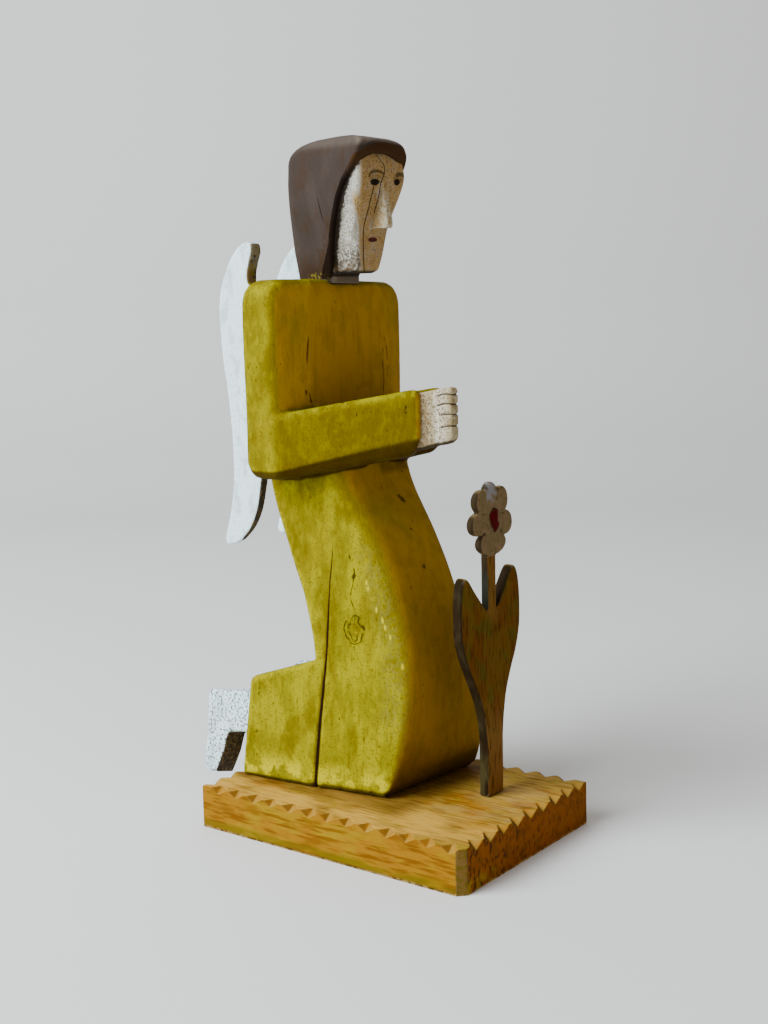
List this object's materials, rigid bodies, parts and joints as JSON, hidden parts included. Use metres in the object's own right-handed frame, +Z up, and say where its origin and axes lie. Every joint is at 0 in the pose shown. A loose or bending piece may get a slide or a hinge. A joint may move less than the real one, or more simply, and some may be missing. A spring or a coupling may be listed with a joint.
{
  "type": "carved wooden figure",
  "caption": "Painted folk carving of a kneeling angel with joined hands, flat board wings and a cut-out flower, on a square-edged plinth with a chip-carved rim.",
  "frame": {"origin": "middle of the plinth's flat underside", "axes": "+Z up; the figure faces -Y and its right side is towards -X; the plinth's long sides run along Y"},
  "size_m": [0.1295, 0.2023, 0.3704],
  "materials": {
    "plinth": "ochre stain, worn, satin",
    "robe": "brushed greenish yellow paint, satin",
    "wing": "thin cool white paint, matt, bare brown front edge",
    "foot": "thin cool white paint, matt, bare brown instep",
    "flower": "olive brown stained wood with a grey lilac blossom and a dark red middle, matt"
  },
  "bodies": {
    "root": {"base": "plinth", "figure": "robe", "wing_right": "wing", "wing_left": "wing", "foot_right": "foot", "foot_left": "foot", "flower": "flower"}
  },
  "joints": []
}
